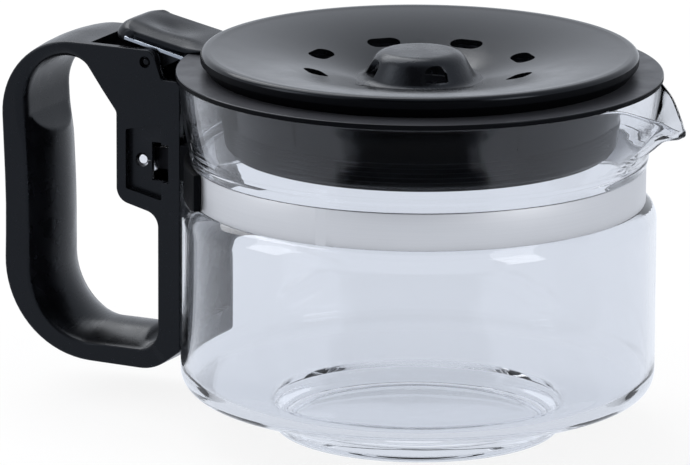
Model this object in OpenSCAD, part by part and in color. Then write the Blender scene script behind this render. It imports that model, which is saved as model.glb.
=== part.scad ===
/* [Glass jug] */
// Widest outside diameter of the glass body
body_d = 145; // [138:1:155]
// Height of the glass rim above the foot
rim_z = 108; // [104:1:114]
// Wall thickness of the glass
glass_t = 2.2; // [1.8:0.1:2.6]
// Diameter of the flat foot that stands on the hot plate
foot_d = 88; // [78:1:94]
// Height of the foot below the rounded underside
foot_h = 6; // [5:0.5:8]
// How far the neck is set in from the body, on the radius
neck_step = 3.4; // [3:0.1:4]
// How far the spout tip stands out past the neck
spout_reach = 19.4; // [17:0.2:22]

/* [Steel band] */
// Width of the band
band_w = 11.3; // [10:0.1:12.5]
// Thickness of the band
band_t = 0.6; // [0.5:0.1:0.8]
// Distance from the glass rim down to the top edge of the band
band_drop = 24.5; // [23:0.5:27]

/* [Handle] */
// Width of the handle from side to side
handle_w = 32; // [30:1:38]
// Distance from the glass body to the back of the grip
handle_reach = 62; // [60:1:70]
// Thickness of the grip at its sides
grip_t = 7.8; // [7:0.2:10]
// How far the grip swells towards the fingers
grip_crown = 4.5; // [3:0.5:6]
// Height of the handle's underside above the table
heel_z = 11.8; // [8:0.2:16]
// Thickness of the bracket's two side cheeks
cheek_t = 2.4; // [2.2:0.1:3]

/* [Lid] */
// Diameter of the lip round the dish
dish_d = 132.6; // [128:0.2:134]
// Height of the dish's lip above the glass rim
dish_rise = 10.1; // [9.5:0.1:12]
// Depth of the dish below its lip
dish_depth = 8.9; // [7:0.1:9.2]
// Depth of the skirt below the glass rim
skirt_depth = 21; // [16:1:22]
// Number of ribs round the skirt
skirt_ribs = 5; // [3:1:6]
// Number of slots in the dish
slot_count = 8; // [4:1:10]

/* [Hinge] */
// Diameter of the hinge pin
pin_d = 2.5; // [2:0.1:3]

/* [Hidden] */
$fn = 96;
arc_steps = 10;
// Longer than any cut needs to be
far = 400;
// Gap between pieces that are seated against each other
seat_gap = 0.05;
// Gap round a pin that turns
run_gap = 0.05;
// Gap round a pin that is pressed in
press_gap = 0.01;
// Gap beside pieces that swing past each other
side_gap = 0.3;
plastic = [0.11, 0.11, 0.13];
steel = [0.78, 0.78, 0.80];
glass = [0.84, 0.90, 0.92, 0.45];

// Glass: the body, the set-in neck and the seat that the band lies in
floor_t = 3;
foot_round = 1.2;
under_rise = 8.1;
under_round = 9;
shoulder_h = 1.7;
shoulder_round = 6;
bead = 0.3;
bead_h = 2.5;
bead_round = 0.8;
rim_round = 1;
inner_round = 6;
body_r = body_d / 2;
neck_r = body_r - neck_step;
foot_r = foot_d / 2;
band_top = rim_z - band_drop;
band_low = band_top - band_w;
band_in_r = neck_r - band_t;
seat_r = band_in_r - seat_gap;
under_z = foot_h + under_rise;
shoulder_z = band_low - shoulder_h;
bead_top = band_top + bead_h;
jug_outside = [
    [0, 0, 0],
    [foot_r, 0, foot_round],
    [foot_r, foot_h, foot_round],
    [body_r, under_z, under_round],
    [body_r, shoulder_z, shoulder_round],
    [neck_r, band_low - seat_gap, 0],
    [seat_r, band_low - seat_gap, 0],
    [seat_r, band_top + seat_gap, 0],
    [neck_r + bead, band_top + seat_gap, bead],
    [neck_r + bead, bead_top, bead_round],
    [neck_r, bead_top + bead_round, 0],
    [neck_r, rim_z, rim_round],
    [0, rim_z, 0]];
jug_inside = [
    [0, floor_t, 0],
    [foot_r - glass_t, floor_t, foot_round],
    [foot_r - glass_t, foot_h + glass_t, foot_round],
    [body_r - glass_t, under_z + glass_t, inner_round],
    [body_r - glass_t, shoulder_z - glass_t, inner_round],
    [neck_r - glass_t, band_low, inner_round],
    [neck_r - glass_t, rim_z + far, 0],
    [0, rim_z + far, 0]];

// Spout: a cone that grows out of the neck, cut off along a falling lip
spout_root_r = 2.5;
spout_drop = 22;
lip_drop = 6;
spout_x = neck_r - spout_root_r;
spout_z = rim_z - spout_drop;
spout_flare = spout_reach / (spout_drop - lip_drop);
spout_lift = glass_t / sin(atan(spout_flare));
lip_slope = atan2(lip_drop, spout_reach);

// Handle: the loop, with its corners as x, z and the radius that rounds them
strip_gap = 1.1;
strip_t = 7.4;
bracket_d = 22.2;
arch_t = 5.1;
bar_t = 5.2;
handle_rise = 4.1;
arch_round = 27;
heel_round = 30;
finger_round = 15;
palm_round = 19;
grip_lean = 2;
heel_lean = 0.8;
waist_z = 58;
waist_round = 300;
nose_back = 8.9;
nose_round = 1.5;
shelf_d = 6.4;
shelf_drop = 3.6;
shelf_fall = 0.5;
shelf_round = 0.8;
toe_len = 10.9;
toe_rise = 7.2;
toe_round = 18;
strip_round = 2;
arch_flat = 4.3;
diagonal_drop = 16.4;
diagonal_round = 6;
elbow_round = 2.5;
bracket_drop = 8.2;
bracket_round = 5;
step_drop = 11.6;
step_round = 4;
strip_foot_round = 7;
strip_x = -body_r - strip_gap;
strip_back_x = strip_x - strip_t;
bracket_x = strip_x - bracket_d;
back_x = -body_r - handle_reach;
grip_x = back_x + grip_t;
top_z = rim_z + handle_rise;
arch_z = top_z - arch_t;
bar_z = heel_z + bar_t;
shelf_z = rim_z - shelf_drop;
diagonal_x = grip_x + finger_round + arch_flat;
diagonal_z = rim_z - diagonal_drop;
half_w = handle_w / 2;
cheek_y = half_w - cheek_t;
handle_outside = [
    [strip_x - nose_back, top_z, nose_round],
    [back_x - grip_lean, top_z, arch_round],
    [back_x, waist_z, waist_round],
    [back_x - heel_lean, heel_z, heel_round],
    [strip_x - toe_len, heel_z, toe_round],
    [strip_x, heel_z + toe_rise, strip_round],
    [strip_x, shelf_z - shelf_fall, shelf_round],
    [strip_x - shelf_d, shelf_z, shelf_round]];
handle_opening = [
    [grip_x - grip_lean, arch_z, finger_round],
    [diagonal_x, arch_z, diagonal_round],
    [bracket_x, diagonal_z, elbow_round],
    [bracket_x, band_low - bracket_drop, bracket_round],
    [strip_back_x, band_low - step_drop, step_round],
    [strip_back_x, bar_z, strip_foot_round],
    [grip_x, bar_z, palm_round],
    [grip_x, waist_z, waist_round]];

// Hollow of the bracket, open at the top and towards the glass
wall_t = 1.7;
well_ledge = 1;
hollow_round = 2;
hollow_low_round = 4;
hollow_foot = 14;
hollow_x = bracket_x + wall_t;
well_x = diagonal_x + wall_t;
channel_x = strip_back_x + wall_t;
bracket_hollow = [
    [0, top_z + far, 0],
    [well_x, top_z + far, 0],
    [well_x, arch_z + well_ledge, 0],
    [hollow_x, diagonal_z + well_ledge, hollow_round],
    [hollow_x, band_low - bracket_drop + hollow_round, hollow_low_round],
    [channel_x, band_low - step_drop + hollow_round, hollow_round],
    [channel_x, heel_z + hollow_foot, hollow_round],
    [0, heel_z + hollow_foot, 0]];

// Swell of the grip, an arc across the width that runs down the grip and along the bottom bar
crown_root = 2;
crown_r = (half_w * half_w + grip_crown * grip_crown) / (2 * grip_crown);
palm_x = grip_x + palm_round;
palm_z = bar_z + palm_round;
finger_x = grip_x - grip_lean + finger_round;
finger_z = arch_z - finger_round;

// Clamp: from the near cheek inwards lie the plate, the nut and the band's ear
screw_d = 3;
screw_play = 0.3;
screw_back = 14.4;
screw_drop = 1;
head_d = 5.8;
head_h = 2.1;
head_play = 0.4;
boss_d = 9;
nut_w = 7;
nut_t = 2.8;
plate_t = 1.6;
plate_lap = 1;
plate_hole_d = 4.4;
ear_len = 23.5;
ear_h = 6.8;
ear_play = 0.4;
screw_x = strip_x - screw_back;
screw_z = (band_low + band_top) / 2 - screw_drop;
screw_hole_d = screw_d + screw_play;
plate_y = cheek_y - seat_gap - plate_t;
nut_y = plate_y - seat_gap - nut_t;
ear_y = nut_y - band_t;

// Recess in the near cheek, and the window in the plate behind it, about the screw
recess_back = 4.4;
recess_front = 8;
recess_back_low = 9;
recess_back_high = 9.7;
recess_front_low = 11.7;
recess_front_high = 12.6;
recess_round = 0.6;
window_back = 2.5;
window_front = 10.4;
window_half_h = 6;
recess = [
    [screw_x - recess_back, screw_z - recess_back_low, recess_round],
    [screw_x - recess_back, screw_z + recess_back_high, recess_round],
    [screw_x + recess_front, screw_z + recess_front_high, recess_round],
    [screw_x + recess_front, screw_z - recess_front_low, recess_round]];
plate = [
    [screw_x - recess_back - plate_lap, screw_z - recess_back_low - plate_lap, hollow_low_round - plate_lap],
    [screw_x - recess_back - plate_lap, screw_z + recess_back_high + plate_lap, 0],
    [screw_x + window_front, screw_z + recess_front_high + plate_lap, 0],
    [screw_x + window_front, screw_z - recess_front_low - plate_lap, 0]];

// Shoe: the curved block between the bracket and the band
shoe_angle = 44;
shoe_t = 2.4;
shoe_in_r = neck_r + seat_gap;

// Hinge
pin_back = 12.1;
pin_rise = 0.3;
pin_inset = 0.5;
pin_recess = 0.6;
pin_recess_h = 0.8;
knuckle_t = 2.7;
pin_x = strip_x - pin_back;
pin_z = rim_z + pin_rise;
knuckle_r = pin_d / 2 + run_gap + knuckle_t;

// Dish: a drum with a shallow bowl across it
drum_t = 2.2;
dish_t = 2;
lip_over = 0.8;
lip_round = 0.9;
lip_h = 2;
lip_w = 2.6;
bowl_steps = 16;
bowl_curve_share = 0.64;
slot_l = 10.5;
slot_w = 6;
slot_r = 33.2;
dish_r = dish_d / 2;
drum_r = dish_r - lip_over;
dish_top = rim_z + dish_rise;
bowl_z = dish_top - dish_depth;

// Drip cap: a hollow boss with arched openings, seated in the middle of the bowl
cap_r = 18.3;
cap_ledge = 1.9;
cap_margin = 0.7;
cap_draft = 2.9;
cap_rise = 8.6;
cap_t = 1.8;
cap_lip_h = 0.9;
cap_round = 3;
cap_spigot_h = 2.4;
port_count = 4;
port_w = 7.4;
port_h = 5.6;
port_round = 3.2;
cap_hole_r = cap_r - cap_ledge;
cap_wall_r = cap_r - cap_t;
cap_top_r = cap_wall_r - cap_draft;
bowl_in = cap_r + cap_margin;
bowl_out = dish_r - lip_w;
function bowl(r) = let (x = (r - bowl_in) / (bowl_out - bowl_in))
    bowl_z + (dish_depth - lip_round / 2) * x * (1 + bowl_curve_share * (1 - x));

// Lid ring: the flange that lies on the rim, with the thumb lever behind it
flange_lift = 0.4;
flange_t = 2.5;
flange_over = 4.6;
flange_round = 1;
flange_low = rim_z + flange_lift;
flange_top = flange_low + flange_t;
flange_r = neck_r + flange_over;

// Thumb lever, placed about the hinge pin
tail_back = 12.2;
tail_rise = 4.6;
tail_h = 3.7;
tail_round = 1.2;
tail_len = 4;
thumb_back = 9.4;
thumb_rise = 9.7;
thumb_round = 2;
ledge_rise = 7;
lever_front_rise = 4.1;
lever_sink = 0.4;
lever_lip = 1;
lever_y = cheek_y - side_gap;
lever_in_y = lever_y - lever_lip;
lever_in_x = -drum_r + drum_t / 2;
lever_z = flange_top - lever_sink;
tail_x = pin_x - tail_back;
tail_z = pin_z + tail_rise;
ledge_z = pin_z + ledge_rise;
lever_plate = [
    [lever_in_x, pin_z + lever_front_rise, 0],
    [pin_x - thumb_back, pin_z + thumb_rise, thumb_round],
    [tail_x, tail_z + tail_h, tail_round],
    [tail_x, tail_z, 0],
    [tail_x + tail_len, tail_z, 0],
    [-flange_r, lever_z, 0],
    [lever_in_x, lever_z, 0]];
lever_ledge = [
    [tail_x + tail_len, ledge_z, 0],
    [-flange_r, lever_z, 0],
    [-flange_r, lever_z + lever_lip, 0],
    [tail_x + tail_len, ledge_z + lever_lip, 0]];
lever_web = [
    [pin_x - knuckle_r, pin_z, 0],
    [pin_x - knuckle_r, tail_z, 0],
    [lever_lip - flange_r, lever_z, 0],
    [lever_lip - flange_r, flange_low, 0],
    [-lever_lip - flange_r, flange_low, 0],
    [pin_x, pin_z - knuckle_r, 0]];

// Skirt
skirt_t = 2;
skirt_set = 8;
skirt_taper = 2.4;
rib_h = 0.7;
rib_out = 0.45;
rib_pitch = 1.5;
rib_start = 1.2;
skirt_top_r = neck_r - skirt_set;
skirt_low_r = skirt_top_r - skirt_taper;
skirt_low = rim_z - skirt_depth;
skirt_h = flange_low - skirt_low;
flange_in_r = skirt_top_r - skirt_t;

function unit(v) = v / norm(v);

// Points that round the corner b between a and c, or the sharp corner where r is zero
function rounded(a, b, c, r) = r == 0 ? [b] :
    let (
        to_a = unit(a - b),
        to_c = unit(c - b),
        half = acos(to_a * to_c) / 2,
        centre = b + unit(to_a + to_c) * r / sin(half),
        start = b + to_a * r / tan(half) - centre,
        sweep = (cross(to_a, to_c) < 0 ? 1 : -1) * (180 - 2 * half))
    [for (i = [0 : arc_steps]) let (t = sweep * i / arc_steps)
        centre + [start[0] * cos(t) - start[1] * sin(t), start[0] * sin(t) + start[1] * cos(t)]];

// Closed outline from corners given as x, z and radius
function outline(corners) = let (n = len(corners)) [
    for (i = [0 : n - 1])
        let (a = corners[(i + n - 1) % n], b = corners[i], c = corners[(i + 1) % n])
        each rounded([a[0], a[1]], [b[0], b[1]], [c[0], c[1]], b[2])];

// Solid between two places in y, from an outline in x and z
module slab(y0, y1) {
    translate([0, y1, 0]) rotate([90, 0, 0]) linear_extrude(y1 - y0) children();
}

// Rod along y between two places
module rod(x, z, d, y0, y1) {
    translate([x, y1, z]) rotate([90, 0, 0]) cylinder(h = y1 - y0, d = d);
}

// Cone of the spout, lifted up its axis
module spout_cone(lift) {
    translate([spout_x, 0, spout_z + lift])
        cylinder(h = spout_drop, r1 = spout_root_r, r2 = spout_root_r + spout_flare * spout_drop);
}

module below_lip() {
    translate([neck_r, 0, rim_z]) rotate([0, lip_slope, 0]) translate([-far, -far, -2 * far]) cube(2 * far);
}

module glass_jug() {
    color(glass) difference() {
        union() {
            rotate_extrude() polygon(outline(jug_outside));
            intersection() {
                spout_cone(0);
                below_lip();
            }
        }
        rotate_extrude() polygon(outline(jug_inside));
        spout_cone(spout_lift);
        translate([-far, -far, rim_z]) cube(2 * far);
    }
}

module band_ear() {
    ear_root = sqrt(band_in_r * band_in_r - ear_y * ear_y);
    translate([-neck_r - ear_len, ear_y, screw_z - ear_h / 2])
        cube([neck_r + ear_len - ear_root, band_t, ear_h]);
}

module steel_band() {
    color(steel) difference() {
        union() {
            difference() {
                translate([0, 0, band_low]) cylinder(h = band_w, r = neck_r);
                cylinder(h = far, r = band_in_r);
                translate([-far, -ear_y, 0]) cube([far, 2 * ear_y, far]);
            }
            band_ear();
            mirror([0, 1, 0]) band_ear();
        }
        rod(screw_x, screw_z, screw_hole_d, -half_w, half_w);
    }
}

module shoe_plan() {
    difference() {
        union() {
            intersection() {
                circle(shoe_in_r + shoe_t);
                polygon([[0, 0], [-far, far * tan(shoe_angle)], [-far, -far * tan(shoe_angle)]]);
            }
            translate([strip_x, -half_w]) square([strip_t, handle_w]);
        }
        circle(shoe_in_r);
    }
}

module clamp_shoe() {
    slot_w = band_t + ear_play;
    slot_h = ear_h + ear_play;
    color(plastic) difference() {
        translate([0, 0, band_low]) linear_extrude(band_w) shoe_plan();
        for (side = [-1, 1])
            translate([-far, side * (ear_y + band_t / 2) - slot_w / 2, screw_z - slot_h / 2])
                cube([far, slot_w, slot_h]);
    }
}

// Segment of a circle across the handle's width, standing on its chord
module crown_section() {
    intersection() {
        translate([0, grip_crown - crown_r]) circle(crown_r);
        translate([-half_w, -crown_root]) square([handle_w, grip_crown + crown_root]);
    }
}

module grip_swell() {
    difference() {
        translate([grip_x, 0, palm_z]) rotate([0, 0, -90]) linear_extrude(finger_z - palm_z) crown_section();
        rod(finger_x, finger_z, 2 * finger_round, -handle_w, handle_w);
    }
    translate([palm_x, 0, palm_z]) rotate([90, 0, 0]) rotate([0, 0, 180])
        rotate_extrude(angle = 90) translate([palm_round, 0]) rotate(90) crown_section();
    translate([palm_x, 0, bar_z]) rotate([90, 0, 90]) linear_extrude(strip_back_x - palm_x) crown_section();
}

module window() {
    translate([screw_x + window_back, screw_z - window_half_h])
        square([window_front - window_back, 2 * window_half_h]);
}

module handle() {
    color(plastic) difference() {
        union() {
            difference() {
                slab(-half_w, half_w) difference() {
                    polygon(outline(handle_outside));
                    polygon(outline(handle_opening));
                }
                slab(-cheek_y, cheek_y) polygon(outline(bracket_hollow));
            }
            grip_swell();
            rod(screw_x, screw_z, boss_d, ear_y + band_t, half_w - cheek_t / 2);
        }
        slab(-handle_w, -plate_y) polygon(outline(recess));
        slab(-handle_w, -plate_y) window();
        rod(screw_x, screw_z, screw_hole_d, 0, handle_w);
        rod(screw_x, screw_z, head_d + head_play, half_w - head_h, handle_w);
        rod(pin_x, pin_z, pin_d + 2 * press_gap, -handle_w, handle_w);
        for (side = [-1, 1])
            translate([0, side * half_w, 0])
                rod(pin_x, pin_z, pin_d + 2 * pin_recess, -pin_recess_h, pin_recess_h);
    }
}

module clamp_plate() {
    color(plastic) difference() {
        slab(-plate_y - plate_t, -plate_y) difference() {
            polygon(outline(plate));
            window();
        }
        rod(screw_x, screw_z, plate_hole_d, -handle_w, 0);
    }
}

module clamp_screw() {
    color(steel) {
        rod(screw_x, screw_z, screw_d, -plate_y - plate_t / 2, half_w - head_h);
        rod(screw_x, screw_z, head_d, half_w - head_h, half_w);
    }
}

module clamp_nut() {
    color(steel) difference() {
        translate([screw_x - nut_w / 2, -nut_y - nut_t, screw_z - nut_w / 2]) cube([nut_w, nut_t, nut_w]);
        rod(screw_x, screw_z, screw_d + 2 * press_gap, -handle_w, 0);
    }
}

module hinge_pin() {
    color(plastic) rod(pin_x, pin_z, pin_d, pin_inset - half_w, half_w - pin_inset);
}

module lid_ring() {
    color(plastic) difference() {
        union() {
            rotate_extrude() polygon(outline([
                [flange_in_r, flange_low, 0],
                [flange_r, flange_low, flange_round],
                [flange_r, flange_top, flange_round],
                [flange_in_r, flange_top, 0]]));
            slab(-lever_in_y, lever_in_y) polygon(outline(lever_plate));
            slab(-lever_in_y, lever_in_y) polygon(outline(lever_web));
            slab(-lever_y, lever_y) polygon(outline(lever_ledge));
            rod(pin_x, pin_z, 2 * knuckle_r, -lever_y, lever_y);
        }
        rod(pin_x, pin_z, pin_d + 2 * run_gap, -handle_w, handle_w);
        translate([0, 0, flange_top]) cylinder(h = far, r = drum_r + seat_gap);
    }
}

module lid_skirt() {
    color(plastic) {
        difference() {
            translate([0, 0, skirt_low]) cylinder(h = skirt_h, r1 = skirt_low_r, r2 = skirt_top_r);
            translate([0, 0, skirt_low])
                cylinder(h = skirt_h, r1 = skirt_low_r - skirt_t, r2 = skirt_top_r - skirt_t);
        }
        for (i = [0 : skirt_ribs - 1])
            let (z = rib_start + i * rib_pitch, r = skirt_low_r + skirt_taper * z / skirt_h)
            translate([0, 0, skirt_low + z]) rotate_extrude()
                translate([r - skirt_t / 2, 0]) square([skirt_t / 2 + rib_out, rib_h]);
    }
}

module dish_slot() {
    for (end = [-1, 1])
        translate([slot_r, end * (slot_l - slot_w) / 2, 0]) cylinder(h = far, d = slot_w);
    translate([slot_r - slot_w / 2, (slot_w - slot_l) / 2, 0]) cube([slot_w, slot_l - slot_w, far]);
}

module lid_dish() {
    radii = [for (i = [0 : bowl_steps]) bowl_out + (bowl_in - bowl_out) * i / bowl_steps];
    drum_in = drum_r - drum_t;
    color(plastic) difference() {
        rotate_extrude() polygon(concat(
            [[drum_in, flange_top], [drum_r, flange_top], [drum_r, dish_top - lip_h - lip_over]],
            [[dish_r, dish_top - lip_h]],
            rounded([dish_r, flange_top], [dish_r, dish_top], [0, dish_top], lip_round),
            [[bowl_out + lip_round, dish_top]],
            [for (r = radii) [r, bowl(r)]],
            [[cap_hole_r, bowl_z], [cap_hole_r, bowl_z - dish_t]],
            [for (i = [bowl_steps : -1 : 0]) [min(radii[i], drum_in), bowl(radii[i]) - dish_t]]));
        for (i = [0 : slot_count - 1])
            rotate([0, 0, i * 360 / slot_count]) dish_slot();
    }
}

module drip_cap() {
    cap_top = bowl_z + cap_rise;
    cap_low = bowl_z - cap_spigot_h;
    spigot_r = cap_hole_r - seat_gap;
    bore_r = cap_wall_r - cap_t;
    color(plastic) difference() {
        rotate_extrude() polygon(outline([
            [0, cap_low, 0],
            [spigot_r, cap_low, 0],
            [spigot_r, bowl_z, 0],
            [cap_r, bowl_z, 0],
            [cap_r, bowl_z + cap_lip_h, cap_lip_h / 2],
            [cap_wall_r, bowl_z + 2 * cap_lip_h, cap_lip_h / 2],
            [cap_top_r, cap_top, cap_round],
            [0, cap_top, 0]]));
        rotate_extrude() polygon(outline([
            [0, cap_low - far, 0],
            [bore_r, cap_low - far, 0],
            [bore_r, bowl_z + cap_lip_h, 0],
            [cap_top_r - cap_t, cap_top - cap_t, cap_round - cap_t],
            [0, cap_top - cap_t, 0]]));
        for (i = [0 : port_count - 1])
            rotate([0, 0, (i + 0.5) * 360 / port_count]) translate([cap_r / 2, 0, bowl_z + cap_lip_h])
                rotate([90, 0, 90]) linear_extrude(cap_r) polygon(outline([
                    [-port_w / 2, 0, 0],
                    [port_w / 2, 0, 0],
                    [port_w / 2, port_h, port_round],
                    [-port_w / 2, port_h, port_round]]));
    }
}

glass_jug();
steel_band();
clamp_shoe();
handle();
clamp_plate();
clamp_screw();
clamp_nut();
hinge_pin();
lid_ring();
lid_skirt();
lid_dish();
drip_cap();
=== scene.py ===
import math

import bmesh
import bpy
from mathutils import Matrix, Vector


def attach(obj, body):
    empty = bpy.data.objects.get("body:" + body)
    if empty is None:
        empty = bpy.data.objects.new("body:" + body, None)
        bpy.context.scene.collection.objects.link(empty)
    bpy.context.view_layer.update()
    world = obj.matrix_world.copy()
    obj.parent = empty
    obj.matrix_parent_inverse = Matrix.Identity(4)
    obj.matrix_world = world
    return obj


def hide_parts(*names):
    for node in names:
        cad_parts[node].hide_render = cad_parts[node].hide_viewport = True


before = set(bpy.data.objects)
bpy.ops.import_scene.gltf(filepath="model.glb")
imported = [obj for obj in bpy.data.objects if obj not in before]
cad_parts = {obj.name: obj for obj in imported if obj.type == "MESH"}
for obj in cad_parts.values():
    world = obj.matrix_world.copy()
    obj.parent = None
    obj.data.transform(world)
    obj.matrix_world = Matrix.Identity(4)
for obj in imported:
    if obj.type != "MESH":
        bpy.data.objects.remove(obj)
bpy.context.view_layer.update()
MM = 0.001
PHOTO_W = 690
SCENE = bpy.context.scene
BRIGHT_STEEL = (0.80, 0.80, 0.82)
# Near-black steel colour, used as painted shade on steel deep in the handle's bracket
PAINTED_SHADE_STEEL = (0.012, 0.012, 0.014)


# Node helpers

def new_material(name):
    mat = bpy.data.materials.new(name)
    mat.use_nodes = True
    mat.node_tree.nodes.clear()
    return mat, mat.node_tree


def add(tree, kind, **values):
    node = tree.nodes.new(kind)
    for key, value in values.items():
        if hasattr(node, key):
            setattr(node, key, value)
        else:
            node.inputs[key].default_value = value
    return node


def link(tree, out, into):
    tree.links.new(out, into)


def noise(tree, scale, detail=3.0, stretch=None):
    """Noise over the object's own metres, stretched along its axes if asked."""
    coord = add(tree, "ShaderNodeTexCoord")
    out = coord.outputs["Object"]
    if stretch:
        mapping = add(tree, "ShaderNodeMapping")
        mapping.inputs["Scale"].default_value = stretch
        link(tree, out, mapping.inputs["Vector"])
        out = mapping.outputs["Vector"]
    node = add(tree, "ShaderNodeTexNoise")
    node.inputs["Scale"].default_value = scale
    node.inputs["Detail"].default_value = detail
    link(tree, out, node.inputs["Vector"])
    return node.outputs["Fac"]


def spread(tree, value, low, high, from_low=0.3, from_high=0.7):
    node = add(tree, "ShaderNodeMapRange")
    node.inputs["From Min"].default_value = from_low
    node.inputs["From Max"].default_value = from_high
    node.inputs["To Min"].default_value = low
    node.inputs["To Max"].default_value = high
    link(tree, value, node.inputs["Value"])
    return node.outputs["Result"]


def blend_colour(tree, factor, dark, light):
    node = add(tree, "ShaderNodeMix", data_type="RGBA")
    node.inputs[6].default_value = (*dark, 1)
    node.inputs[7].default_value = (*light, 1)
    link(tree, factor, node.inputs[0])
    return node.outputs[2]


def bump(tree, height, strength, depth):
    node = add(tree, "ShaderNodeBump")
    node.inputs["Strength"].default_value = strength
    node.inputs["Distance"].default_value = depth
    link(tree, height, node.inputs["Height"])
    return node.outputs["Normal"]


def edge_wear_and_sheen(tree, low=0.53, high=0.62):
    """Rises from 0 to 1 on the outward edges and crests, where hands rub the surface and, on the collar,
    where a painted highlight lies.
    """
    geometry = add(tree, "ShaderNodeNewGeometry")
    return spread(tree, geometry.outputs["Pointiness"], 0.0, 1.0, low, high)


def finish_material(tree, shader):
    out = add(tree, "ShaderNodeOutputMaterial")
    link(tree, shader.outputs[0], out.inputs["Surface"])


def plastic(name, dark, light, rough, grain, grain_depth, wear_and_sheen_colour, gloss, ior=1.5):
    """Moulded plastic: slow colour drift, uneven sheen, fine grain and outward edges a little paler, as wear
    on most parts and as a painted highlight on the collar's rib crests.
    """
    mat, tree = new_material(name)
    shader = add(tree, "ShaderNodeBsdfPrincipled")
    shader.inputs["IOR"].default_value = ior
    shader.inputs["Specular IOR Level"].default_value = gloss
    shader.inputs["Specular Tint"].default_value = (0.81, 0.885, 1.0, 1)
    drift = noise(tree, 55.0, 4.0)
    # outward edges turn to the edge colour: wear on most plastics, a painted highlight on the collar
    edge = edge_wear_and_sheen(tree)
    colour = blend_colour(tree, drift, dark, light)
    lighter_part = add(tree, "ShaderNodeMix", data_type="RGBA")
    lighter_part.inputs[7].default_value = (*wear_and_sheen_colour, 1)
    link(tree, edge, lighter_part.inputs[0])
    link(tree, colour, lighter_part.inputs[6])
    link(tree, lighter_part.outputs[2], shader.inputs["Base Color"])
    link(tree, spread(tree, noise(tree, 140.0, 5.0), rough[0], rough[1]), shader.inputs["Roughness"])
    link(tree, bump(tree, noise(tree, grain, 2.0), 0.5, grain_depth), shader.inputs["Normal"])
    finish_material(tree, shader)
    return mat


def steel(name, colour, rough, streak, streak_depth):
    """Rolled steel with fine lines along its length and faint handling marks."""
    mat, tree = new_material(name)
    shader = add(tree, "ShaderNodeBsdfPrincipled")
    shader.inputs["Metallic"].default_value = 1.0
    lines = noise(tree, 60.0, 6.0, streak)
    marks = noise(tree, 90.0, 3.0)
    darker = tuple(0.86 * c for c in colour)
    link(tree, blend_colour(tree, lines, darker, colour), shader.inputs["Base Color"])
    both = add(tree, "ShaderNodeMath", operation="MULTIPLY_ADD")
    both.inputs[1].default_value = 0.6
    link(tree, lines, both.inputs[0])
    half = add(tree, "ShaderNodeMath", operation="MULTIPLY")
    half.inputs[1].default_value = 0.4
    link(tree, marks, half.inputs[0])
    link(tree, half.outputs[0], both.inputs[2])
    link(tree, spread(tree, both.outputs[0], rough[0], rough[1]), shader.inputs["Roughness"])
    link(tree, bump(tree, lines, 0.35, streak_depth), shader.inputs["Normal"])
    finish_material(tree, shader)
    return mat


def shaded_steel_with_highlight(name, middle, reach):
    """Steel painted black as painted shade, bright only in a band around one height as a painted highlight.
    """
    mat, tree = new_material(name)
    shader = add(tree, "ShaderNodeBsdfPrincipled")
    shader.inputs["Metallic"].default_value = 1.0
    coord = add(tree, "ShaderNodeTexCoord")
    parts = add(tree, "ShaderNodeSeparateXYZ")
    link(tree, coord.outputs["Object"], parts.inputs[0])
    above = add(tree, "ShaderNodeMath", operation="SUBTRACT")
    above.inputs[1].default_value = middle * MM
    link(tree, parts.outputs["Z"], above.inputs[0])
    off = add(tree, "ShaderNodeMath", operation="ABSOLUTE")
    link(tree, above.outputs[0], off.inputs[0])
    # bright steel only in a band round the middle height, a painted highlight; black elsewhere, painted shade
    lighter_part = spread(tree, off.outputs[0], 1.0, 0.0, 0.6 * reach * MM, reach * MM)
    link(tree, blend_colour(tree, lighter_part, PAINTED_SHADE_STEEL, BRIGHT_STEEL), shader.inputs["Base Color"])
    link(tree, spread(tree, noise(tree, 90.0), 0.2, 0.35), shader.inputs["Roughness"])
    finish_material(tree, shader)
    return mat


def glass(name):
    """Clear blown glass with slow waves in its wall."""
    mat, tree = new_material(name)
    shader = add(tree, "ShaderNodeBsdfPrincipled")
    shader.inputs["Base Color"].default_value = (0.935, 0.945, 0.965, 1)
    shader.inputs["Transmission Weight"].default_value = 1.0
    shader.inputs["Specular Tint"].default_value = (0.82, 0.82, 0.84, 1)
    shader.inputs["IOR"].default_value = 1.42
    shader.inputs["Roughness"].default_value = 0.0
    link(tree, bump(tree, noise(tree, 38.0, 1.5, (1.0, 1.0, 0.55)), 0.25, 0.00025), shader.inputs["Normal"])
    finish_material(tree, shader)
    return mat


BLACK = plastic("satin_black_plastic", (0.0016, 0.0017, 0.0024), (0.0030, 0.0032, 0.0042), (0.22, 0.33),
                1900.0, 0.00003, (0.0060, 0.0062, 0.0075), 0.18)
GLOSS = plastic("gloss_black_plastic", (0.0014, 0.0015, 0.0020), (0.0024, 0.0025, 0.0032), (0.10, 0.18),
                1500.0, 0.000012, (0.0050, 0.0052, 0.0064), 0.16)
# The collar's edge colour, far paler than its base, is a painted highlight along the skirt's rib crests and
# outward edges.
COLLAR = plastic("collar_black_plastic", (0.0016, 0.0017, 0.0022), (0.0026, 0.0028, 0.0034), (0.12, 0.22),
                 2600.0, 0.000001, (0.0260, 0.0270, 0.0320), 0.14)
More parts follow.
